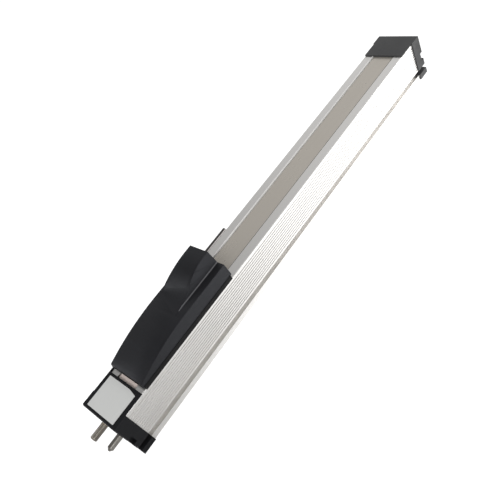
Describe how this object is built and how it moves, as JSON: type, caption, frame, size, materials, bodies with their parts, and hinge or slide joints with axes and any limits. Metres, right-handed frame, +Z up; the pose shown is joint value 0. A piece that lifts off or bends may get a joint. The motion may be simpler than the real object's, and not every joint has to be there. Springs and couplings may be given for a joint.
{
  "type": "magnetostrictive position sensor",
  "caption": "Linear position sensor: ribbed aluminium profile with black end caps and a captive magnet carriage that slides along its top with a drive rod.",
  "frame": {"origin": "middle of the housing's flat base face", "axes": "+X along the housing from the label end to the far end, +Y to the left, +Z up"},
  "size_m": [0.4465, 0.0531, 0.0644],
  "materials": {
    "anodised_aluminium": "satin anodised",
    "strip_metal": "satin",
    "cap_plastic": "fine grained",
    "cover_plastic": "fine grained",
    "label_film": "matt film",
    "stud_steel": "zinc plated",
    "pin_steel": "turned",
    "insert_brass": "machined",
    "screw_steel": "oiled",
    "rod_chrome": "polished",
    "seal_rubber": "matt",
    "wire_alloy": "drawn",
    "tube_plastic": "plain",
    "holder_rubber": "matt",
    "bobbin_plastic": "plain",
    "coil_copper": "enamelled winding",
    "magnet_material": "sintered",
    "damper_rubber": "matt",
    "tray_plastic": "plain",
    "board_laminate": "solder mask",
    "component_plastic": "plain",
    "plate_aluminium": "black anodised",
    "shoe_plastic": "bearing plastic",
    "wiper_felt": "felt",
    "holder_plastic": "plain",
    "keeper_steel": "zinc plated",
    "clamp_aluminium": "black anodised"
  },
  "bodies": {
    "housing": {"profile_extrusion": "anodised_aluminium", "cover_strip": "strip_metal", "type_label": "label_film", "fixing_stud": "stud_steel", "stud_insert": "insert_brass", "locating_pin": "pin_steel", "front_end_cap": "cap_plastic", "rear_end_cap": "cap_plastic", "front_gasket": "seal_rubber", "rear_gasket": "seal_rubber", "front_cap_screws": "screw_steel", "rear_cap_screws": "screw_steel", "waveguide_wire": "wire_alloy", "waveguide_tube": "tube_plastic", "waveguide_holders": "holder_rubber", "coil_bobbin": "bobbin_plastic", "pickup_coil": "coil_copper", "bias_magnet": "magnet_material", "damping_sleeve": "damper_rubber", "wire_anchor": "insert_brass", "board_tray": "tray_plastic", "circuit_board": "board_laminate", "board_components": "component_plastic"},
    "carriage": {"carriage_cover": "cover_plastic", "carriage_plate": "plate_aluminium", "cover_screws": "screw_steel", "left_guide_shoe": "shoe_plastic", "right_guide_shoe": "shoe_plastic", "front_wiper": "wiper_felt", "rear_wiper": "wiper_felt", "magnet_holder": "holder_plastic", "position_magnets": "magnet_material", "magnet_keeper": "keeper_steel", "rod_clamp": "clamp_aluminium", "clamp_screws": "screw_steel", "rod_set_screws": "screw_steel", "drive_rod": "rod_chrome"}
  },
  "joints": [
    {"name": "carriage_slide", "type": "slide", "parent": "housing", "child": "carriage", "axis": [1, 0, 0], "range_m": [-0.003, 0.26]}
  ]
}
